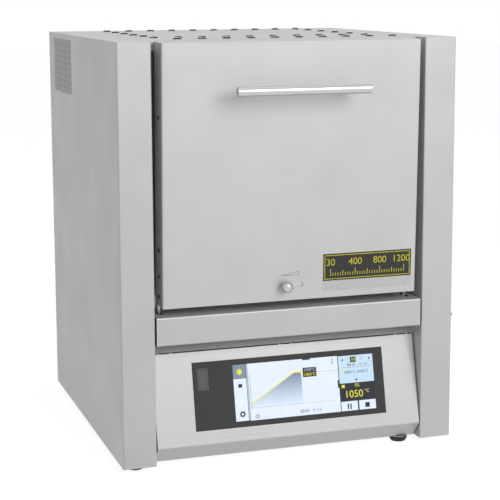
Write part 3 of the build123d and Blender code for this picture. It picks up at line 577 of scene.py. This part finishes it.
def screen_chart(screen):
    """Rising and level line over a field that darkens upwards in bands, with its axes"""
    start_x, start_up = -51.1, 44.6
    knee_x, end_x, level = 7.7, 17.8, 79.8

    def line_x(up):
        """Where the rising line passes this height"""
        return start_x + max(0, up - start_up) * (knee_x - start_x) / (level - start_up)

    bands, foot, tall = 10, 40, 4
    pale, deep = (0.72, 0.84, 0.98), (0.2, 0.27, 0.4)
    for i in range(bands):
        low = foot + i * tall
        high = min(low + tall, level)
        shape = [(line_x(low), low), (end_x, low), (end_x, high), (line_x(high), high)]
        share = i / (bands - 1)
        color = tuple(a + (b - a) * share for a, b in zip(pale, deep))
        name = f"screen_fill_{i}"
        screen.draw(name, [shape], LINE, lit_material(name, color))

    corner, top, far = (-51.5, 39.8), (-51.5, 82.3), (60, 39.8)
    upright_width, level_width, dash_width, line_width = 0.6, 0.25, 0.5, 1.3
    shapes = stroke([corner, top], upright_width) + stroke([corner, far], level_width)
    dashes, dash_start, dash_pitch, dash_length, dash_up = 6, 40.5, 5, 2.4, 77.8
    for i in range(dashes):
        x = dash_start + i * dash_pitch
        shapes += stroke([(x, dash_up), (x + dash_length, dash_up)], dash_width)
    screen.draw("screen_lines", shapes, LINE, screen_grey)

    shapes = stroke([(start_x, start_up), (knee_x, level), (end_x, level)], line_width)
    dot = round_shape(start_x, start_up, radius=1.4)
    arrow_foot, arrow_tip, arrow_half = 16.6, 20.6, 2.4
    arrow = [(arrow_foot, level + arrow_half), (arrow_tip, level), (arrow_foot, level - arrow_half)]
    sun = round_shape(-64.5, 86.7, radius=4.6, sides=16, inner=2.6)
    screen.draw("screen_curve", shapes + [dot, arrow, sun], SIGN, screen_yellow)


def screen_signs(screen):
    """Dark signs without words: pause, stop, arrows, dots, a diamond and a gear wheel"""
    value_box = box_shape(20.1, 72.7, 38.6, 84.7)
    page_tab = box_shape(20.5, 94.4, 31, 97)
    side_grip = box_shape(66.6, 55, 69, 65)
    step_box = box_shape(85.8, 86.3, 93.6, 93.4)
    list_sign = box_shape(-67, 67, -62, 71.4)
    pause_bar = 1.8
    pause = [box_shape(x, 26.6, x + pause_bar, 33.6) for x in (78, 81.6)]
    stop = box_shape(102.4, 27.2, 108.6, 33.4)
    more = [(90.4, 64.6), (94.6, 64.6), (92.5, 61.8)]
    dots = [round_shape(61.1, up, radius=0.8) for up in (87, 89.5, 92)]
    back = [(73.6, 89.9), (76, 91.6), (76, 88.2)]
    ahead = [(111.4, 91.6), (111.4, 88.2), (113.8, 89.9)]
    diamond = stroke([(-47, 29), (-44.4, 31.4), (-41.8, 29), (-44.4, 26.6), (-47, 29)], width=0.7)
    gear_x, gear_up = -63.7, 33.6
    gear = round_shape(gear_x, gear_up, radius=4.2, sides=16, inner=3.2)
    hub = round_shape(gear_x, gear_up, radius=1.7)
    dark = [value_box, page_tab, side_grip, step_box, list_sign, *pause, stop, more]
    dark += [*dots, back, ahead, *diamond, gear]
    screen.draw("screen_marks", dark, SIGN, screen_ink)
    screen.draw("screen_gear_middle", [hub], FIGURE, screen_white)
    output_box = box_shape(71.6, 54.2, 75.8, 58.2)
    info_dash = box_shape(72.5, 77.4, 78.5, 78.6)
    screen.draw("screen_small_yellow", [output_box, info_dash], FIGURE, screen_yellow)
    rule = stroke([(74, 80), (114, 80)], width=0.5)
    screen.draw("screen_rule", rule, LINE, screen_grey)


def screen_figures(screen):
    """Temperatures, times and numbers in the unit of the scale"""
    rows = [
        Row("1050", x=87.8, up=45.3, tall=9.4),
        Row("°C", x=106, up=48.2, tall=4.2),
        Row("0%", x=93, up=56.4, tall=4.2),
        Row("50", x=89.7, up=89.9, tall=4),
        Row("1060°C", x=29.4, up=75.8, tall=3.8),
    ]
    screen.write("screen_yellow_figures", rows, FIGURE, screen_yellow)
    rows = [
        Row("00:10", x=87, up=83, tall=3.6),
        Row("1000°C-1050°C", x=93, up=73.6, tall=3.8),
        Row("00:45", x=19.4, up=29.7, tall=4),
    ]
    screen.write("screen_dark_figures", rows, SIGN, screen_ink)
    rows = [
        Row("01:30", x=103.6, up=83, tall=3.4),
        Row("01:24", x=35.6, up=29.7, tall=3.8),
        Row("10", x=101, up=90, tall=3.4),
    ]
    screen.write("screen_grey_figures", rows, SIGN, screen_grey)
    rows = [Row("1050°C", x=29.4, up=81.6, tall=3.8)]
    screen.write("screen_set_value", rows, FIGURE, screen_mist)


def screen_art():
    """Everything on the lit screen"""
    left_of_middle, below_middle = 2.5 * MM, 60.3 * MM
    middle, across, upward, outward = front_face("display_glass")
    origin = middle - across * left_of_middle - upward * below_middle
    screen = Screen(origin, across, upward, outward)
    screen_panels(screen)
    screen_chart(screen)
    screen_signs(screen)
    screen_figures(screen)


# Camera, floor and lights


def aim(yaw, pitch, roll):
    """Turn of a camera that looks this far right of +Y, up from level, then rolls"""
    ahead = Vector((sin(yaw) * cos(pitch), cos(yaw) * cos(pitch), sin(pitch)))
    return ahead.to_track_quat("-Z", "Y") @ Quaternion((0, 0, 1), roll)


def add_camera():
    """Camera that shows the outlines as the photograph does"""
    data = bpy.data.cameras.new("camera")
    data.lens = 104.24
    data.sensor_width = 36
    data.shift_y = -0.08
    camera = link_new("camera", data)
    camera.location = (-0.60049, -1.87607, 0.59477)
    camera.rotation_mode = "QUATERNION"
    yaw, pitch, roll = 18.066, -8.805, -0.234
    camera.rotation_quaternion = aim(radians(yaw), radians(pitch), radians(roll))
    bpy.context.scene.camera = camera


def area_light(name, place, size, power):
    """Lamp panel that faces the middle of the object"""
    look = (0, 0, 0.3)
    data = bpy.data.lights.new(name, "AREA")
    data.shape = "RECTANGLE"
    data.size, data.size_y = size
    data.energy = power
    light = link_new(name, data)
    light.location = place
    light.rotation_mode = "QUATERNION"
    light.rotation_quaternion = (Vector(look) - Vector(place)).to_track_quat("-Z", "Y")


def seen_rays(tree):
    """1 for rays by which the camera sees a thing, straight on or in gloss and glass"""
    path = add_node(tree, "ShaderNodeLightPath")
    total = path.outputs["Is Camera Ray"]
    for ray in ("Is Glossy Ray", "Is Transmission Ray"):
        most = add_node(tree, "ShaderNodeMath", operation="MAXIMUM")
        tree.links.new(total, most.inputs[0])
        tree.links.new(path.outputs[ray], most.inputs[1])
        total = most.outputs["Value"]
    return total


def add_floor():
    """Pale paper that looks white where it is lit and keeps the shadow"""
    mesh = bpy.data.meshes.new("floor")
    half_width = 12
    corners = box_shape(-half_width, -half_width, half_width, half_width)
    mesh.from_pydata([(x, y, 0) for x, y in corners], [], [(0, 1, 2, 3)])
    floor = link_new("floor", mesh)
    grey = (0.5, 0.5, 0.5)
    material, tree, shader = new_material("floor_paper", grey, roughness=0.9, pitch=80, spread=0.01)
    shader.inputs["Specular IOR Level"].default_value = 0.0
    glow = add_node(tree, "ShaderNodeEmission")
    glow.inputs["Strength"].default_value = 0.84
    lit = add_node(tree, "ShaderNodeAddShader")
    tree.links.new(shader.outputs["BSDF"], lit.inputs[0])
    tree.links.new(glow.outputs["Emission"], lit.inputs[1])
    mix = add_node(tree, "ShaderNodeMixShader")
    tree.links.new(seen_rays(tree), mix.inputs["Fac"])
    tree.links.new(shader.outputs["BSDF"], mix.inputs[1])
    tree.links.new(lit.outputs["Shader"], mix.inputs[2])
    tree.links.new(mix.outputs["Shader"], tree.nodes["Material Output"].inputs["Surface"])
    mesh.materials.append(material)


def add_backdrop():
    """World that the camera and gloss see as white, and that lights the object softly"""
    world = bpy.data.worlds.new("studio")
    bpy.context.scene.world = world
    world.use_nodes = True
    tree = world.node_tree
    light = tree.nodes["Background"]
    light.inputs["Color"].default_value = (1, 1, 1, 1)
    light.inputs["Strength"].default_value = 0.3
    white = add_node(tree, "ShaderNodeBackground")
    white.inputs["Color"].default_value = (1, 1, 1, 1)
    mix = add_node(tree, "ShaderNodeMixShader")
    tree.links.new(seen_rays(tree), mix.inputs["Fac"])
    tree.links.new(light.outputs["Background"], mix.inputs[1])
    tree.links.new(white.outputs["Background"], mix.inputs[2])
    tree.links.new(mix.outputs["Shader"], tree.nodes["World Output"].inputs["Surface"])


dress_nodes()
door_side_screws()
rear_screws()
flange_screws()
foot_washers()
smooth_knob()
door_badge()
slot_mark()
side_label()
screen_art()
add_camera()
add_floor()
add_backdrop()
area_light("key", place=(0.7, -2.3, 1.35), size=(1.4, 1.2), power=27)
area_light("top", place=(0.1, 0.2, 2.2), size=(1.6, 1.6), power=2)
bpy.context.scene.view_settings.view_transform = "Standard"
